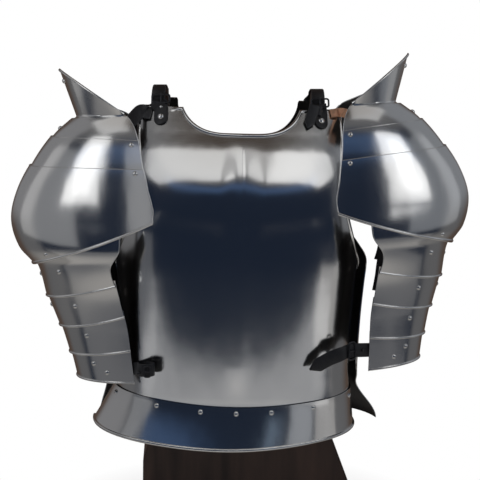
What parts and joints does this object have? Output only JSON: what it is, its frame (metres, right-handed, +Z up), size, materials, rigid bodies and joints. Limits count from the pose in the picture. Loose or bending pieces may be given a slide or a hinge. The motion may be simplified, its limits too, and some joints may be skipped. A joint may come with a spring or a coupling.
{
  "type": "plate armour cuirass with shoulder and arm defences on a plain wooden stand",
  "caption": "Polished steel breastplate and backplate with a riveted waist lame, laminated shoulder and upper arm defences with upright guards and buckled straps, on a plain wooden stand.",
  "frame": {"origin": "middle of the underside of the stand foot, on the floor under the armour", "axes": "+X to the viewer's right, +Y away from the viewer (the front faces -Y), +Z up"},
  "size_m": [0.7329, 0.288, 0.7553],
  "materials": {
    "polished_steel": "polished to a satin mirror, faint scratches",
    "black_leather": "black, semi-matte",
    "blackened_steel": "black buckle steel",
    "dark_wood": "dark brown, low sheen"
  },
  "bodies": {
    "root": {"arm_buckle_left": "blackened_steel", "arm_buckle_right": "blackened_steel", "arm_lame_1_left": "polished_steel", "arm_lame_1_right": "polished_steel", "arm_lame_2_left": "polished_steel", "arm_lame_2_right": "polished_steel", "arm_lame_3_left": "polished_steel", "arm_lame_3_right": "polished_steel", "arm_lame_4_left": "polished_steel", "arm_lame_4_right": "polished_steel", "arm_strap_left": "black_leather", "arm_strap_right": "black_leather", "backplate": "polished_steel", "breastplate": "polished_steel", "carrier_front_left": "black_leather", "carrier_front_right": "black_leather", "carrier_rear_left": "black_leather", "carrier_rear_right": "black_leather", "hanger_left": "black_leather", "hanger_right": "black_leather", "haute_piece_left": "polished_steel", "haute_piece_right": "polished_steel", "shoulder_buckle_left": "blackened_steel", "shoulder_buckle_right": "blackened_steel", "shoulder_plate_left": "polished_steel", "shoulder_plate_right": "polished_steel", "shoulder_rivet_left": "polished_steel", "shoulder_rivet_right": "polished_steel", "shoulder_strap_left": "black_leather", "shoulder_strap_right": "black_leather", "shoulder_tab_left": "black_leather", "shoulder_tab_right": "black_leather", "stand_foot": "dark_wood", "stand_post": "dark_wood", "strap_end_right": "black_leather", "upper_lame_1_left": "polished_steel", "upper_lame_1_right": "polished_steel", "upper_lame_2_left": "polished_steel", "upper_lame_2_right": "polished_steel", "waist_lame": "polished_steel"}
  },
  "joints": []
}
